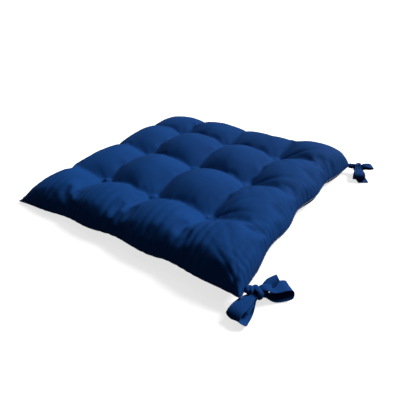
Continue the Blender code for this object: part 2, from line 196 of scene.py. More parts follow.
def tie_route(root, knot, strap, lift):
    """A strap's route as (point, width, direction of its width), from the corner to its free end."""
    neck_angle = math.degrees(math.atan2(root.y - knot.y, root.x - knot.x))
    neck = (Vector(root.xy) - Vector(knot.xy)).length
    loop_angle, loop, loop_top, loop_low = strap["loop"]
    tail_angle, tail, tail_end = strap["tail"]
    enter, leave, back = (z * MM + lift for z in strap["levels"])
    loop, loop_top, loop_low, tail, tail_end = (v * MM for v in (loop, loop_top, loop_low, tail, tail_end))
    loop_top, loop_low, tail_end = loop_top + lift, loop_low + lift, tail_end + lift
    across_neck = neck_angle + 90
    across_loop = nearest_turn(loop_angle - 90, across_neck)
    across_tail = nearest_turn(tail_angle + 90, across_loop)

    def leg(angle, across, distance, z):
        share = min(1.0, distance / FULL_WIDTH_AT)
        width = KNOT_WIDTH + (STRAP_WIDTH - KNOT_WIDTH) * share
        return around(knot, angle, distance, z), width, across

    halfway = enter + strap["neck_rise"] * (root.z - enter)
    route = [(root, NECK_WIDTH, across_neck)]
    route.append((around(knot, neck_angle, neck - ROOT_STRAIGHT, root.z), NECK_WIDTH, across_neck))
    route.append((around(knot, neck_angle, neck * 0.5, halfway), NECK_WIDTH, across_neck))
    route.append((around(knot, neck_angle, KNOT_REACH, enter), KNOT_WIDTH, across_neck))
    middle = (across_neck + across_loop) / 2
    route.append((around(knot, middle + 90, 1.5 * MM, (enter + leave) / 2), KNOT_WIDTH, middle))
    bend = (loop_top + loop_low) / 2
    for distance, z in (
        (KNOT_REACH, leave),
        (KNOT_CLEAR, leave + 0.1 * (loop_top - leave)),
        (LOOP_FULL_AT * loop, loop_top),
        (LOOP_TURNS_AT * loop, loop_top - LOOP_SAG),
        (LOOP_ROUND_AT * loop, bend + 0.5 * (loop_top - bend)),
        (loop, bend),
        (LOOP_ROUND_AT * loop, bend - 0.5 * (bend - loop_low)),
        (LOOP_TURNS_AT * loop, loop_low),
        (LOOP_FULL_AT * loop, loop_low),
        (KNOT_CLEAR, back),
        (KNOT_REACH, back),
    ):
        returning = len(route) > LOOP_BEND_AT
        splay = strap["splay"] * (distance / loop) if returning else 0
        route.append(leg(loop_angle + splay, across_loop + splay, distance, z))
    route.append((around(knot, 0, 0, back), KNOT_WIDTH, (across_loop + across_tail) / 2))
    for distance, z in (
        (KNOT_REACH, back),
        (KNOT_CLEAR, back),
        (0.6 * tail, back + 0.8 * (tail_end - back)),
        (tail, tail_end),
    ):
        route.append(leg(tail_angle, across_tail, distance, z))
    return route


def smooth_route(route, step):
    """Stations about one step apart on a smooth curve through the route's points."""
    rows = [Vector((*point, width, math.radians(across))) for point, width, across in route]
    rows = [2 * rows[0] - rows[1]] + rows + [2 * rows[-1] - rows[-2]]
    made = []
    for before, start, end, after in zip(rows, rows[1:], rows[2:], rows[3:]):
        span = (Vector(end[:3]) - Vector(start[:3])).length
        steps = max(1, round(span / step))
        for k in range(steps):
            u = k / steps
            slope = (end - before) * u
            curve = (2 * before - 5 * start + 4 * end - after) * u * u
            twist = (3 * start - before - 3 * end + after) * u * u * u
            made.append(0.5 * (2 * start + slope + curve + twist))
    made.append(rows[-2])
    return made


def seam_height(s, t):
    """Height of the seam, for s across the pad and t from front to back, both from -1 to 1."""
    height = sum(h * (1 + a * s) / 2 * (1 + b * t) / 2 for (a, b), h in CORNER_Z.items())
    lift_x, lift_y = by_side(s, t, SIDE_LIFT)
    return height + lift_x * s**2 * (1 - t**2) + lift_y * t**2 * (1 - s**2)


def by_side(s, t, values):
    """The value for the side across and for the side along, at each point."""
    return np.where(s > 0, values["right"], values["left"]), np.where(t > 0, values["rear"], values["front"])


def plan(s, t):
    """Where a place on the pad lies once its sides are drawn in, most of all beside the tufts."""
    pull_x, pull_y = by_side(s, t, PULL)
    scallop_x, scallop_y = by_side(s, t, SCALLOP)
    wave_x = scallop_x * np.cos(2 * np.pi * t * CORNER / TUFT_Y) * np.abs(s) ** 5
    wave_y = scallop_y * np.cos(2 * np.pi * s * CORNER / TUFT_X) * np.abs(t) ** 5
    x = CORNER * s - np.sign(s) * (pull_x * np.abs(s) ** 3 + wave_x) * (1 - t**2)
    y = CORNER * t - np.sign(t) * (pull_y * np.abs(t) ** 3 + wave_y) * (1 - s**2)
    return x, y


routes = {}
knot_places = {}
sewn_places = {}
for name, layout in TIES.items():
    sewn_at = layout["sewn_at"]
    seam_x, seam_y = plan(sewn_at, 1.0)
    sewn_to = Vector((float(seam_x), float(seam_y), float(seam_height(sewn_at, 1.0))))
    knot = sewn_to + Vector((*layout["knot"], 0)) * MM
    towards_knot = Vector((knot.x - sewn_to.x, knot.y - sewn_to.y, 0)).normalized()
    knot_places[name] = knot
    sewn_places[name] = sewn_to
    for letter in "ab":
        rise = ROOT_LIFT if letter == layout["upper"] else -ROOT_LIFT
        root = sewn_to - towards_knot * ROOT_INSIDE + Vector((0, 0, rise))
        stations = smooth_route(tie_route(root, knot, layout[letter], layout["lift"] * MM), STRAP_STEP)
        places = [Vector(station[:3]) for station in stations]
        length = sum((far - near).length for near, far in zip(places, places[1:]))
        routes[f"{name}_strap_{letter}"] = {"stations": stations, "places": places, "length": length}
        print(f"{name} strap {letter}: {length / MM:.0f} mm long")

# %% [markdown]
# ## The ties: the cloth of a strap
#
# The strap is a folded strip with its edges turned in, so it is thicker along the edges, where
# four layers lie, with a line of stitches beside them. Inside the knot its 18 mm are gathered into
# pleats. A ribbon with no thickness would do from far away, but the open ends of the loops show the
# strap's edge, so each strap is a closed strip: an upper and a lower row of points, carried along
# the route, with the pleats folded in where it narrows.

# %% Strap cloth
STRAP_THICK = 1.3 * MM
STRAP_COLUMNS = 24
EDGE_FOLD = 2.6 * MM  # width of the turned-in edge
EDGE_EXTRA = 0.25 * MM  # how much thicker it is than the middle
PLEATS = 3
PLEAT_DEPTH = 1.1 * MM
SAG_DEPTH = 0.7 * MM  # the middle of a slack strap curls a little
STITCH_FROM_EDGE = 1.9 * MM
STITCH_DEPTH = 0.22 * MM
TAIL_STATIONS = 12
END_STATIONS = 8


def strap_cloth(name, stations, places, ending):
    """A closed strip along the stations, pleated where it is narrow."""
    notch, slant, roll = ending
    tail_from = len(stations) - 1 - TAIL_STATIONS
    across_steps = np.linspace(-1, 1, STRAP_COLUMNS + 1)
    points = []
    flat = []
    run = 0.0
    for k, station in enumerate(stations):
        if k:
            run += (places[k] - places[k - 1]).length
        along = (places[min(k + 1, len(places) - 1)] - places[max(k - 1, 0)]).normalized()
        across = Vector((math.cos(station[4]), math.sin(station[4]), 0))
        face = along.cross(across).normalized()
        turn = math.radians(roll) * min(1.0, max(0.0, (k - tail_from) / TAIL_STATIONS))
        flat_across, flat_face = across, face
        across = flat_across * math.cos(turn) + flat_face * math.sin(turn)
        face = flat_face * math.cos(turn) - flat_across * math.sin(turn)
        narrow = 1 - min(1.0, max(0.0, (station[3] - KNOT_WIDTH) / (STRAP_WIDTH - KNOT_WIDTH)))
        for side in (1, -1):
            for u in across_steps:
                wave = PLEAT_DEPTH * narrow * math.cos(PLEATS * math.pi * u)
                curl = SAG_DEPTH * (1 - narrow) * (u * u - 0.4) * math.sin(run / (17 * MM))
                edge = (1 - abs(u)) * station[3] / 2
                thick = STRAP_THICK / 2 - EDGE_EXTRA * (1 - math.exp(-((edge / EDGE_FOLD) ** 4))) * (1 - narrow)
                thick -= STITCH_DEPTH * (1 - narrow) * math.exp(-(((edge - STITCH_FROM_EDGE) / (0.5 * MM)) ** 2))
                thick *= min(1.0, 0.35 + edge / (0.8 * MM))
                near_end = max(0.0, 1 - (len(stations) - 1 - k) / END_STATIONS)
                back = (notch * (1 - abs(u)) + slant * (1 - u) / 2) * near_end
                place = places[k] + across * (u * station[3] / 2) + face * (side * thick + wave + curl) - along * back
                points.append(place)
                flat.append((u * STRAP_WIDTH / 2, run))
    faces = []
    row = 2 * (STRAP_COLUMNS + 1)
    lower = STRAP_COLUMNS + 1

    def at(k, side, column):
        return k * row + side * lower + column

    last = len(stations) - 1
    for k in range(last):
        for column in range(STRAP_COLUMNS):
            faces.append((at(k, 0, column), at(k, 0, column + 1), at(k + 1, 0, column + 1), at(k + 1, 0, column)))
            faces.append((at(k, 1, column + 1), at(k, 1, column), at(k + 1, 1, column), at(k + 1, 1, column + 1)))
        for column, near, far in ((0, 1, 0), (STRAP_COLUMNS, 0, 1)):
            faces.append((at(k, near, column), at(k, far, column), at(k + 1, far, column), at(k + 1, near, column)))
    for k, first, second in ((0, 1, 0), (last, 0, 1)):
        for column in range(STRAP_COLUMNS):
            faces.append(
                (at(k, first, column), at(k, first, column + 1), at(k, second, column + 1), at(k, second, column))
            )
    piece = mesh_piece(name, points, faces)
    flat_map = piece.data.uv_layers.new(name="cloth")
    for loop in piece.data.loops:
        flat_map.data[loop.index].uv = flat[loop.vertex_index]
    close_outwards(piece)
    return piece


def close_outwards(piece):
    """Faces of a closed shape turned to point out."""
    select_only(piece)
    bpy.ops.object.mode_set(mode="EDIT")
    bpy.ops.mesh.select_all(action="SELECT")
    bpy.ops.mesh.normals_make_consistent(inside=False)
    bpy.ops.object.mode_set(mode="OBJECT")


def smooth_by_halving(piece, levels):
    """Subdivides the piece for good and shades it smooth."""
    select_only(piece)
    halving = piece.modifiers.new("halving", "SUBSURF")
    halving.levels = halving.render_levels = levels
    bpy.ops.object.modifier_apply(modifier=halving.name)
    bpy.ops.object.shade_smooth()


PLAIN_END = (0.0, 0.0, 0.0)  # notch, slant of the cut, and roll of the tail in degrees
ENDINGS = {"left_strap_a": (5 * MM, 0.0, 0.0), "right_strap_a": (0.0, 13 * MM, -32.0)}
straps = {}
for name, route in routes.items():
    strap = strap_cloth(name + "_cloth", route["stations"], route["places"], ENDINGS.get(name, PLAIN_END))
    smooth_by_halving(strap, 1)
    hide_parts(name)
    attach(strap, name.split("_")[0] + "_bow")
    straps[name] = strap
    print(name, "has", len(strap.data.polygons), "faces")

# %% [markdown]
# ## The ties: the knots
#
# Round the middle of each bow goes one turn of strap, pulled tight, so it is creased lengthways
# and fatter in the middle. It starts as an open cylinder whose axis lies along the bow. It is
# flattened, cut into rings, given a wall with Solidify, and its creases are pressed in by moving
# alternate lengthways lines inwards.

# %% Knots
KNOT_WALL = 1.4 * MM
KNOT_SIDES = 36
KNOT_CREASE = 0.45 * MM
KNOT_SWELL = 0.8 * MM


def bow_knot(name, knot, layout):
    angle, length, half, low, high = layout
    length, half, low, high = (v * MM for v in (length, half, low, high))
    select_only()
    bpy.ops.mesh.primitive_cylinder_add(
        vertices=KNOT_SIDES, radius=1.0, depth=1.0, end_fill_type="NOTHING", rotation=(0, math.pi / 2, 0)
    )
    wrap = bpy.context.object
    wrap.name = name
    wrap.data.name = name
    bpy.ops.object.transform_apply(location=False, rotation=True, scale=False)
    bm = bmesh.new()
    bm.from_mesh(wrap.data)
    lengthways = [e for e in bm.edges if abs(e.verts[0].co.x - e.verts[1].co.x) > 0.5]
    bmesh.ops.subdivide_edges(bm, edges=lengthways, cuts=7, use_grid_fill=True)
    middle = (low + high) / 2
    rise = (high - low) / 2
    turn = math.radians(angle)
    for vert in bm.verts:
        end = vert.co.x * 2
        around_it = math.atan2(vert.co.z, vert.co.y)
        wide = math.copysign(abs(math.cos(around_it)) ** 0.6, math.cos(around_it))
        tall = math.copysign(abs(math.sin(around_it)) ** 0.6, math.sin(around_it))
        swell = KNOT_SWELL * (1 - end * end) - KNOT_SWELL
        crease = KNOT_CREASE * math.sin(end * 9 + 1.3 * math.sin(2 * around_it))
        out = swell - abs(crease)
        across = (half + out) * wide
        lengthwise = end * length / 2 * (1 + 0.12 * math.sin(3 * around_it + 1))
        vert.co.z = middle + (rise + out) * tall
        vert.co.x = knot.x + math.cos(turn) * lengthwise - math.sin(turn) * across
        vert.co.y = knot.y + math.sin(turn) * lengthwise + math.cos(turn) * across
    bm.to_mesh(wrap.data)
    bm.free()
    close_outwards(wrap)
    wall = wrap.modifiers.new("wall", "SOLIDIFY")
    wall.thickness = KNOT_WALL
    wall.offset = -1.0
    bpy.ops.object.modifier_apply(modifier=wall.name)
    smooth_by_halving(wrap, 1)
    return wrap


knots = []
for name, layout in TIES.items():
    wrap = bow_knot(f"{name}_knot_wrap", knot_places[name], layout["wrap"])
    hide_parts(f"{name}_bow_knot")
    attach(wrap, f"{name}_bow")
    knots.append(wrap)
    print(wrap.name, "has", len(wrap.data.polygons), "faces")

# %% [markdown]
# ## The ties: where they are sewn on
#
# The two straps are laid together, tucked into the seam and stitched across. The tuck is a small
# flattened roll of cloth, squeezed hardest in its middle by the stitches.

# %% Tucks
TUCK_SIZE = (12 * MM, 12 * MM, 9 * MM)  # across the straps, along them, and high
TUCK_SQUEEZE = 0.18
TUCK_FORWARD = 2.5 * MM  # its middle is this far outside the seam

tucks = []
for name, sewn_to in sewn_places.items():
    select_only()
    bpy.ops.mesh.primitive_uv_sphere_add(segments=40, ring_count=20, radius=1.0)
    tuck = bpy.context.object
    tuck.name = f"{name}_tie_tuck"
    tuck.data.name = tuck.name
    towards = knot_places[name] - sewn_to
    towards = Vector((towards.x, towards.y, 0)).normalized()
    sideways = Vector((-towards.y, towards.x, 0))
    for vert in tuck.data.vertices:
        u, v, w = vert.co
        squeeze = 1 - TUCK_SQUEEZE * math.exp(-((v / 0.25) ** 2))
        pleat = 1 - 0.05 * math.cos(9 * math.atan2(w, u))
        place = sideways * (u * TUCK_SIZE[0] / 2) + towards * (v * TUCK_SIZE[1] / 2)
        place += Vector((0, 0, w * TUCK_SIZE[2] / 2))
        place = towards * place.dot(towards) + (place - towards * place.dot(towards)) * squeeze * pleat
        vert.co = sewn_to + towards * TUCK_FORWARD + place
    tuck_map = tuck.data.uv_layers.new(name="cloth")
    for loop in tuck.data.loops:
        tuck_map.data[loop.index].uv = (tuck.data.vertices[loop.vertex_index].co - sewn_to).xy
    close_outwards(tuck)
    bpy.ops.object.shade_smooth()
    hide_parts(f"{name}_tie_tack")
    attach(tuck, f"{name}_tie_root")
    tucks.append(tuck)
    print(tuck.name, "round the straps at the seam")

# %% [markdown]
# ## The ties: the straps made
#
# Each strap is 18 mm wide, and its length was printed as its route was laid out. One end is in
# the corner's stitches, and the other is cut off bare.

# %% Count the straps
print("declared", len(straps), "straps")

# %% [markdown]
# ## The pad: its cut and its places
#
# The pad's shape is decided by a few facts: where the nine tufts are, how far each side is drawn
# in, how high the seam runs, and how much filling there is. The sides aren't alike. On the right
# the filling has settled low and stands out steeply, and the rear side is drawn in the most.

# %% Shape of the pad
CELLS = 96  # squares of cloth along a side, before the last halving
TUFT_TOP = 34 * MM  # height of the cloth at a tuft
TUFT_BASE = 10 * MM  # and on the underside
CROWN = 49 * MM
FULLNESS = {"right": 5.0, "left": 2.6, "rear": 4.0, "front": 3.2}
CORNER_FILL = {(1, -1): 1.0, (1, 1): 3.0, (-1, 1): 5.5, (-1, -1): 0.0}  # packed harder into the corners
VALLEY_KEEP = 0.55
VALLEY_WIDTH = 22 * MM
VALLEY_AT_EDGE = 0.2


def even_to_tufts(line, pitch):
    """Bends evenly spaced lines so that the ones at a quarter and three quarters meet the tufts."""
    at_half = pitch / CORNER
    cubic = (at_half - 0.5) / (0.125 - 0.5)
    return (1 - cubic) * line + cubic * line**3


def by_corner(s, t, values):
    rear = np.where(s > 0, values[1, 1], values[-1, 1])
    front = np.where(s > 0, values[1, -1], values[-1, -1])
    return np.where(t > 0, rear, front)


def fullness(s, t, powers):
    p, q = by_side(s, t, powers)
    in_corner = np.clip((np.abs(s) - 0.3) / 0.6, 0, 1) * np.clip((np.abs(t) - 0.3) / 0.6, 0, 1)
    more = by_corner(s, t, CORNER_FILL) * in_corner
    p, q = p + more, q + more
    return np.sqrt(np.maximum(0, (1 - np.abs(s) ** p) * (1 - np.abs(t) ** q)))


def valley(distance_along, distance_off, pitch, other_pitch):
    """Share of the crown left by the line of tufts, weaker towards the edge of the pad."""
    row = np.clip(np.round(distance_off / pitch), -1, 1)
    off = np.abs(distance_off - row * pitch)
    past = np.clip((np.abs(distance_along) - other_pitch) / (CORNER - other_pitch), 0, 1)
    weaker = 1 - (1 - VALLEY_AT_EDGE) * past * past * (3 - 2 * past)
    return 1 - (1 - VALLEY_KEEP) * weaker * np.exp(-((off / VALLEY_WIDTH) ** 1.3))


lines = np.linspace(-1, 1, CELLS + 1)
grid_s, grid_t = np.meshgrid(even_to_tufts(lines, TUFT_X), even_to_tufts(lines, TUFT_Y), indexing="ij")
grid_x, grid_y = plan(grid_s, grid_t)
rim_z = seam_height(grid_s, grid_t)
pillows = valley(grid_y, grid_x, TUFT_X, TUFT_Y) * valley(grid_x, grid_y, TUFT_Y, TUFT_X)
top_z = rim_z + CROWN * fullness(grid_s, grid_t, FULLNESS) * pillows
full_base = dict.fromkeys(FULLNESS, 8.0)
base_z = rim_z * (1 - np.minimum(1, 1.1 * fullness(grid_s, grid_t, full_base)))
print("pillows up to", round(float(top_z.max()) / MM, 1), "mm high before they are filled")

# %% [markdown]
# ## The pad: sewing the two squares
#
# The two squares of cloth share their edge, as they do when they are sewn. Each point keeps its
# place on the flat cloth as a UV in metres, so that later the weave follows the cloth over every
# pillow instead of being projected on it.

# %% Sew the cloth
cloth_points = []
cloth_flat = []
top_index = np.zeros((CELLS + 1, CELLS + 1), int)
base_index = np.zeros((CELLS + 1, CELLS + 1), int)
for i in range(CELLS + 1):
    for j in range(CELLS + 1):
        on_rim = i in (0, CELLS) or j in (0, CELLS)
        top_index[i, j] = len(cloth_points)
        cloth_points.append((grid_x[i, j], grid_y[i, j], rim_z[i, j] if on_rim else top_z[i, j]))
        cloth_flat.append((grid_s[i, j] * CORNER, grid_t[i, j] * CORNER))
        base_index[i, j] = top_index[i, j]
        if not on_rim:
            base_index[i, j] = len(cloth_points)
            cloth_points.append((grid_x[i, j], grid_y[i, j], base_z[i, j]))
            cloth_flat.append((grid_s[i, j] * CORNER, grid_t[i, j] * CORNER))
cloth_faces = []
for i in range(CELLS):
    for j in range(CELLS):
        a, b, c, d = (top_index[i, j], top_index[i + 1, j], top_index[i + 1, j + 1], top_index[i, j + 1])
        cloth_faces.append((a, b, c, d))
        a, b, c, d = (base_index[i, j], base_index[i, j + 1], base_index[i + 1, j + 1], base_index[i + 1, j])
        cloth_faces.append((a, b, c, d))
pad = mesh_piece("pad_cover", cloth_points, cloth_faces)
pad_map = pad.data.uv_layers.new(name="cloth")
for loop in pad.data.loops:
    pad_map.data[loop.index].uv = cloth_flat[loop.vertex_index]
print("cover:", len(pad.data.vertices), "points")

# %% [markdown]
# ## The pad: filling it
#
# The pillows could be sculpted, but cloth under pressure finds its own folds. Blender's Cloth
# pushes the cover outwards while the tufts and the sewn edge are held, as thread and seam hold
# them. The cloth is cut a little larger than the shape, so that it has some to spare.
# There is no weight in it: the filling carries the cloth.

# %% Fill the cover
SPARE_CLOTH = 0.02
FRAMES = 30
held = pad.vertex_groups.new(name="held")
quarter = CELLS // 4
tuft_cells = [(quarter * a, quarter * b) for a in (1, 2, 3) for b in (1, 2, 3)]
for i, j in tuft_cells:
    for di, dj in ((0, 0), (1, 0), (0, 1), (-1, 0), (0, -1)):
        rise = 0 if (di, dj) == (0, 0) else 0.8 * MM
        for index, height in ((top_index, TUFT_TOP + rise), (base_index, TUFT_BASE)):
            point = int(index[i + di, j + dj])
            pad.data.vertices[point].co.z = height
            held.add([point], 1.0, "REPLACE")
for k in range(CELLS + 1):
    for i, j in ((0, k), (CELLS, k), (k, 0), (k, CELLS)):
        held.add([int(top_index[i, j])], 1.0, "REPLACE")

select_only()
bpy.ops.mesh.primitive_plane_add(size=2)
table_top = bpy.context.object
table_top.modifiers.new("Collision", "COLLISION")
table_top.collision.thickness_outer = 1 * MM
select_only(pad)
filling = pad.modifiers.new("filling", "CLOTH")
filling.settings.quality = 6
filling.settings.mass = 0.3
filling.settings.tension_stiffness = 15
filling.settings.compression_stiffness = 8
filling.settings.shear_stiffness = 5
filling.settings.bending_stiffness = 2
filling.settings.use_pressure = True
filling.settings.uniform_pressure_force = 4
filling.settings.vertex_group_mass = held.name
filling.settings.pin_stiffness = 1.0
filling.settings.effector_weights.gravity = 0.0
filling.settings.shrink_min = -SPARE_CLOTH
filling.collision_settings.distance_min = 1 * MM
filling.collision_settings.use_self_collision = False
filling.point_cache.frame_start = 1
filling.point_cache.frame_end = FRAMES + 1
for number in range(1, FRAMES + 1):
    bpy.context.scene.frame_set(number)
bpy.ops.object.modifier_apply(modifier=filling.name)
bpy.data.objects.remove(table_top, do_unlink=True)
heights = [v.co.z for v in pad.data.vertices]
print("filled: from", round(min(heights) / MM, 1), "to", round(max(heights) / MM, 1), "mm high")

# %% [markdown]
# ## The pad: creases
#
# Pressure gives the big forms. The small ones come from the sewing: the seam gathers the cloth into
# short puckers, every tuft pulls creases outwards, and the cloth at the corners is bunched. They
# could be painted on with a bump texture, but they show in the outline, so the points are moved.
# A crease is a narrow dip: deep on its line and gone a few millimetres beside it.

# %% Creases
knife_edge = pad.data.attributes.new("crease_edge", "FLOAT", "EDGE")
rim_points = {int(top_index[i, j]) for k in range(CELLS + 1) for i, j in ((0, k), (CELLS, k), (k, 0), (k, CELLS))}
for edge in pad.data.edges:
    if edge.vertices[0] in rim_points and edge.vertices[1] in rim_points:
        knife_edge.data[edge.index].value = 0.9
smooth_by_halving(pad, 1)

count = len(pad.data.vertices)
flat_at = np.zeros((count, 2))
loop_points = np.zeros(len(pad.data.loops), int)
loop_flat = np.zeros(len(pad.data.loops) * 2)
pad.data.loops.foreach_get("vertex_index", loop_points)
pad.data.uv_layers["cloth"].data.foreach_get("uv", loop_flat)
flat_at[loop_points] = loop_flat.reshape(-1, 2)
place_at = np.zeros(count * 3)
pad.data.vertices.foreach_get("co", place_at)
place_at = place_at.reshape(-1, 3)
normal_at = np.zeros(count * 3)
pad.data.vertices.foreach_get("normal", normal_at)
normal_at = normal_at.reshape(-1, 3)
flat_x, flat_y = flat_at.T


def wander(x, y, span, seed):
    """A smooth irregular value from -1 to 1 that changes over the span."""
    a = np.sin(x / span * 2.1 + 1.7 * seed + 1.3 * np.sin(y / span * 1.7 + seed))
    b = np.sin(y / span * 2.6 - 0.9 * seed + 1.1 * np.sin(x / span * 1.3 + 2.3 * seed))
    return (a + b) / 2


def dip(phase, sharp):
    """A repeated narrow dip: 0 between the creases and -1 on each."""
    return -(((1 + np.cos(phase)) / 2) ** sharp)


def fan(centre, towards, spread, number, depth, reach, seed):
    """Creases that run outwards from a point, within the spread either side of a direction."""
    dx = flat_x - centre[0] * MM
    dy = flat_y - centre[1] * MM
    far = np.hypot(dx, dy)
    angle = np.arctan2(dy, dx) - math.radians(towards)
    angle = (angle + np.pi) % (2 * np.pi) - np.pi
    inside = np.exp(-((angle / math.radians(spread)) ** 4))
    bend = 0.5 * wander(dx, dy, 45 * MM, seed)
    uneven = 0.65 + 0.35 * wander(angle * 60 * MM, far * 0.3, 14 * MM, seed + 2)
    fade = np.clip(far / (9 * MM), 0, 1) * np.exp(-((far / (reach * MM)) ** 2))
    return depth * MM * inside * uneven * fade * dip(number * angle + bend + seed, 3)


def puckers(from_edge, along_edge, spacing, depth, reach, seed):
    """Short creases square to an edge."""
    uneven = 0.55 + 0.45 * wander(along_edge, from_edge * 0.2, 23 * MM, seed)
    phase = 2 * np.pi * along_edge / (spacing * MM) + 2.2 * wander(along_edge, from_edge * 0.12, 31 * MM, seed + 1)
    return depth * MM * uneven * np.exp(-((from_edge / (reach * MM)) ** 1.5)) * dip(phase, 1.6)


right_edge, left_edge = np.maximum(CORNER - flat_x, 0), np.maximum(CORNER + flat_x, 0)
rear_edge, front_edge = np.maximum(CORNER - flat_y, 0), np.maximum(CORNER + flat_y, 0)
moved = puckers(right_edge, flat_y, 13, 3.2, 62, 1.0)
moved += puckers(rear_edge, flat_x, 9, 1.2, 26, 2.0)
moved += puckers(left_edge, flat_y, 12, 0.6, 16, 3.0)
moved += puckers(front_edge, flat_x, 12, 0.6, 16, 4.0)
for column in (-1, 0, 1):
    moved += fan((column * 107, 98), 90, 62, 13, 2.2, 80, 1.0 + column)
    moved += fan((107, column * 98), 0, 60, 9, 1.3, 70, 5.0 + column)
    moved += fan((column * 107, -98), -90, 50, 8, 0.7, 60, 8.0 + column)
    moved += fan((-107, column * 98), 180, 50, 8, 0.7, 60, 11.0 + column)
for row in (-1, 0, 1):
    for column in (-1, 0, 1):
        moved += fan((row * 107, column * 98), 0, 400, 7, 0.45, 34, 3.0 * row + column)
moved += fan((200, 200), 225, 48, 17, 1.9, 62, 0.7)
moved += fan((-200, 200), -45, 46, 14, 1.5, 55, 1.9)
moved += fan((200, -200), 135, 44, 12, 0.9, 45, 2.6)
on_edge = np.minimum(np.minimum(right_edge, left_edge), np.minimum(rear_edge, front_edge))
moved *= np.clip(on_edge / (2.5 * MM), 0.25, 1)
underneath = normal_at[:, 2] < -0.3
moved[underneath] *= 0.3
place_at += normal_at * moved[:, None]
place_at[:, 2] = np.maximum(place_at[:, 2], 0.3 * MM)
if not np.isfinite(place_at).all():
    raise ValueError("a crease moved a point to no real place")
pad.data.vertices.foreach_set("co", place_at.ravel())
pad.data.update()
print("creases up to", round(float(-moved.min()) / MM, 1), "mm deep")

# %% Finish the cover
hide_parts("cover_top_panel", "cover_bottom_panel", "fibre_filling")
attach(pad, "cushion")
print("cover:", len(pad.data.polygons), "faces")

# %% [markdown]
# ## The pad: thread along the edge
#
# The two panels meet in a thin raised seam. On the left side the opening for the filling was closed
# by hand, with slanting stitches over the seam. Both follow the edge as it ended up after filling,
# so they are made from the finished cover and not from the plan.

# %% Edge seam and closing stitches
SEAM_SIDES = 6
SEAM_RADIUS = 0.65 * MM
CLOSING_SIDES = 6
CLOSING_RADIUS = 0.4 * MM
CLOSING_HALF = 50 * MM
CLOSING_OUT = 0.9 * MM
CLOSING_RISE = 2.2 * MM


def thread_along(name, line, radius, sides, closed):
    """A round thread along a line of points, as one closed shape."""
    points = []
    count = len(line)
    for k, point in enumerate(line):
        ahead = line[(k + 1) % count] if closed or k + 1 < count else point
        behind = line[k - 1] if closed or k else point
        along = (ahead - behind) / np.linalg.norm(ahead - behind)
        side_way = np.cross(along, (0.0, 0.0, 1.0))
        side_way = side_way / np.linalg.norm(side_way)
        upwards = np.cross(side_way, along)
        for n in range(sides):
            turn = 2 * math.pi * n / sides
            points.append(point + radius * (side_way * math.cos(turn) + upwards * math.sin(turn)))
    faces = []
    for k in range(count if closed else count - 1):
        for n in range(sides):
            ring = ((k, n), (k, (n + 1) % sides), ((k + 1) % count, (n + 1) % sides), ((k + 1) % count, n))
            faces.append(tuple(sides * a + b for a, b in ring))
    if not closed:
        faces.append(tuple(range(sides))[::-1])
        faces.append(tuple(sides * (count - 1) + n for n in range(sides)))
    piece = mesh_piece(name, points, faces)
    close_outwards(piece)
    bpy.ops.object.shade_smooth()
    return piece


rim_at = np.where(on_edge < 0.01 * MM)[0]
rim_at = rim_at[np.argsort(np.arctan2(flat_y[rim_at], flat_x[rim_at]))]
rim_line = place_at[rim_at]
seam = thread_along("edge_seam", rim_line, SEAM_RADIUS, SEAM_SIDES, True)
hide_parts("perimeter_seam")
closing_at = [k for k in rim_at if flat_x[k] < -CORNER + 0.01 * MM and abs(flat_y[k]) < CLOSING_HALF]
closing_at.sort(key=lambda k: flat_y[k])
closing_line = [
    place_at[k] + np.array((-CLOSING_OUT, 0.0, CLOSING_RISE if n % 2 else -CLOSING_RISE))
    for n, k in enumerate(closing_at)
]
closing = thread_along("closing_stitches", closing_line, CLOSING_RADIUS, CLOSING_SIDES, False)
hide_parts("closing_stitch")
for piece in (seam, closing):
    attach(piece, "cushion")
print("seam round", len(rim_line), "points,", len(closing_line), "closing stitches")

# %% [markdown]
# ## Colours
#
# Colours are written as a dyer's chart gives them, as sRGB hex. Cycles adds light in linear
# values, so one function turns the one into the other.


# %% Colour and node helpers
def linear(hex_code):
    parts = [int(hex_code[k : k + 2], 16) / 255 for k in (1, 3, 5)]
    return tuple(v / 12.92 if v <= 0.04045 else ((v + 0.055) / 1.055) ** 2.4 for v in parts) + (1.0,)


def add_node(tree, kind, settings=None, inputs=None):
    """Adds a node, sets it up, and fills or links its inputs."""
    node = tree.nodes.new(kind)
    for key, value in (settings or {}).items():
        setattr(node, key, value)
    for key, value in (inputs or {}).items():
        if isinstance(value, bpy.types.NodeSocket):
            tree.links.new(value, node.inputs[key])
        else:
            node.inputs[key].default_value = value
    return node


NAVY = "#0B3C78"
print("navy is", [round(v, 4) for v in linear(NAVY)])

# %% [markdown]
# ## Dyed cotton, plain weave
#
# The cover and the ties are plain-woven cotton, dyed navy. One thread over, one under makes a fine
# grid of bumps, with thicker slubs here and there, and loose fibres give it a soft sheen at a
# glancing angle. The real threads are about 0.5 mm apart; they are drawn 0.8 mm apart so that they
# show at all.

# %% Cotton
THREAD_SPACING = 0.8 * MM
SLUB_LENGTH = 25 * MM
SHADE_SPAN = 60 * MM


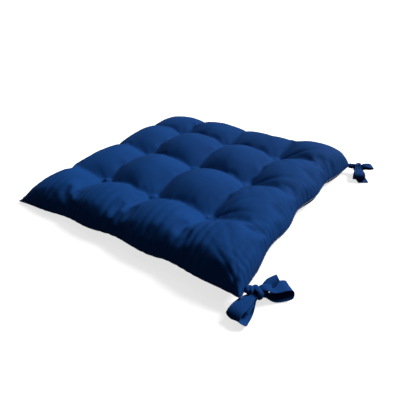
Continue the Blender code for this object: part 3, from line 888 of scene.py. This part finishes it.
def cotton(name, light, dark, weave_height):
    made = bpy.data.materials.new(name)
    made.use_nodes = True
    tree = made.node_tree
    shader = tree.nodes["Principled BSDF"]
    cloth = add_node(tree, "ShaderNodeUVMap", {"uv_map": "cloth"})
    per_thread = 1 / THREAD_SPACING
    threads = add_node(
        tree, "ShaderNodeMapping", None, {"Vector": cloth.outputs["UV"], "Scale": (per_thread,) * 3}
    )
    parts = add_node(tree, "ShaderNodeSeparateXYZ", None, {0: threads.outputs[0]})
    ridges = []
    for axis in ("X", "Y"):
        angle = add_node(tree, "ShaderNodeMath", {"operation": "MULTIPLY"}, {0: parts.outputs[axis], 1: math.pi})
        wave = add_node(tree, "ShaderNodeMath", {"operation": "SINE"}, {0: angle.outputs[0]})
        ridges.append(wave.outputs[0])
    over = add_node(tree, "ShaderNodeMath", {"operation": "MULTIPLY"}, {0: ridges[0], 1: ridges[1]})
    slub_scale = (1 / SLUB_LENGTH, 1 / (3 * THREAD_SPACING), 1.0)
    slub_place = add_node(
        tree, "ShaderNodeMapping", None, {"Vector": cloth.outputs["UV"], "Scale": slub_scale}
    )
    slubs = add_node(
        tree, "ShaderNodeTexNoise", None, {"Vector": slub_place.outputs[0], "Scale": 1.0, "Detail": 3.0}
    )
    shades = add_node(
        tree, "ShaderNodeTexNoise", None, {"Vector": cloth.outputs["UV"], "Scale": 1 / SHADE_SPAN, "Detail": 4.0}
    )
    mixed = add_node(
        tree, "ShaderNodeMath", {"operation": "MULTIPLY_ADD"}, {0: slubs.outputs[0], 1: 0.35, 2: shades.outputs[0]}
    )
    tint = add_node(
        tree, "ShaderNodeMapRange", None, {"Value": mixed.outputs[0], "From Min": 0.45, "From Max": 0.9}
    )
    colour = add_node(
        tree, "ShaderNodeMix", {"data_type": "RGBA"}, {0: tint.outputs[0], 6: linear(dark), 7: linear(light)}
    )
    bump_height = add_node(
        tree, "ShaderNodeMath", {"operation": "MULTIPLY_ADD"}, {0: slubs.outputs[0], 1: 0.6, 2: over.outputs[0]}
    )
    bump = add_node(
        tree, "ShaderNodeBump", None, {"Height": bump_height.outputs[0], "Distance": weave_height, "Strength": 0.6}
    )
    tree.links.new(colour.outputs[2], shader.inputs["Base Color"])
    tree.links.new(bump.outputs[0], shader.inputs["Normal"])
    shader.inputs["Roughness"].default_value = 0.85
    shader.inputs["Specular IOR Level"].default_value = 0.08
    shader.inputs["Sheen Weight"].default_value = 0.05
    shader.inputs["Sheen Roughness"].default_value = 0.5
    shader.inputs["Sheen Tint"].default_value = linear("#4F78B8")
    return made


cover_cotton = cotton("dyed_cotton_plain_weave", NAVY, "#08346B", 0.12 * MM)
tie_cotton = cotton("dyed_cotton_tape", "#0C3C78", "#09346B", 0.10 * MM)
pad.data.materials.append(cover_cotton)
for strap in straps.values():
    strap.data.materials.append(tie_cotton)
for piece in knots + tucks:
    piece.data.materials.append(tie_cotton)
print("made", cover_cotton.name, "and", tie_cotton.name)

# %% [markdown]
# ## Polyester thread
#
# The tufts, the edge seam and the closing stitches are a twisted polyester thread. It is smoother
# than the cotton, so it shines a little more, and the twist shows as slanting lines.

# %% Thread
TWIST_SPACING = 0.6 * MM
thread = bpy.data.materials.new("polyester_thread")
thread.use_nodes = True
tree = thread.node_tree
shader = tree.nodes["Principled BSDF"]
place = add_node(tree, "ShaderNodeTexCoord")
twist = add_node(
    tree,
    "ShaderNodeTexWave",
    {"wave_type": "BANDS", "bands_direction": "DIAGONAL"},
    {"Vector": place.outputs["Object"], "Scale": 0.05 / TWIST_SPACING, "Distortion": 1.0},
)
colour = add_node(
    tree,
    "ShaderNodeMix",
    {"data_type": "RGBA"},
    {0: twist.outputs["Fac"], 6: linear("#0E2650"), 7: linear("#1B3F78")},
)
bump = add_node(tree, "ShaderNodeBump", None, {"Height": twist.outputs["Fac"], "Distance": 0.1 * MM})
tree.links.new(colour.outputs[2], shader.inputs["Base Color"])
tree.links.new(bump.outputs[0], shader.inputs["Normal"])
shader.inputs["Roughness"].default_value = 0.5
shader.inputs["Sheen Weight"].default_value = 0.1
for piece in (seam, closing):
    piece.data.materials.append(thread)
for name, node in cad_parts.items():
    if not node.hide_render:
        node.data.materials.clear()
        node.data.materials.append(thread)
        print("thread on", name)

# %% [markdown]
# ## Floor and light
#
# The pad lies on a plain pale floor that glows a little, like paper on a light table, so that the
# shadow under the pad stays pale. The light comes from behind the pad on its left: the pillows are
# bright on their far slopes, and the side towards the camera falls into deep shade. A white floor
# would fill that shade again, so the floor is kept from lighting the pad, as a photographer would
# do with black card.

# %% Floor and lights
select_only()
bpy.ops.mesh.primitive_plane_add(size=12.0)
floor = bpy.context.object
floor.name = "floor"
paper = bpy.data.materials.new("white_paper")
paper.use_nodes = True
paper_shader = paper.node_tree.nodes["Principled BSDF"]
paper_shader.inputs["Base Color"].default_value = linear("#C8C8C8")
paper_shader.inputs["Roughness"].default_value = 0.9
paper_shader.inputs["Emission Color"].default_value = (1.0, 1.0, 1.0, 1.0)
paper_shader.inputs["Emission Strength"].default_value = 0.72
floor.data.materials.append(paper)
floor.visible_diffuse = False
floor.visible_glossy = False

studio = bpy.data.worlds.new("studio")
studio.use_nodes = True
studio.node_tree.nodes["Background"].inputs["Color"].default_value = (1.0, 1.0, 1.0, 1.0)
studio.node_tree.nodes["Background"].inputs["Strength"].default_value = 0.07
bpy.context.scene.world = studio
bpy.context.scene.view_settings.view_transform = "Standard"

daylight = bpy.data.lights.new("key", "SUN")
daylight.angle = math.radians(28)
daylight.energy = 4.6
key = bpy.data.objects.new("key", daylight)
key.rotation_euler = Vector((-0.97, 0.55, 1.0)).to_track_quat("Z", "Y").to_euler()
bpy.context.scene.collection.objects.link(key)


def soft_light(name, place, size, power):
    light = bpy.data.lights.new(name, "AREA")
    light.shape = "DISK"
    light.size = size
    light.energy = power
    lamp = bpy.data.objects.new(name, light)
    lamp.location = place
    lamp.rotation_euler = Vector(place).to_track_quat("Z", "Y").to_euler()
    bpy.context.scene.collection.objects.link(lamp)
    return lamp


soft_light("fill", (-0.4, -1.2, 1.5), 1.2, 3)
print("floor and two lights")
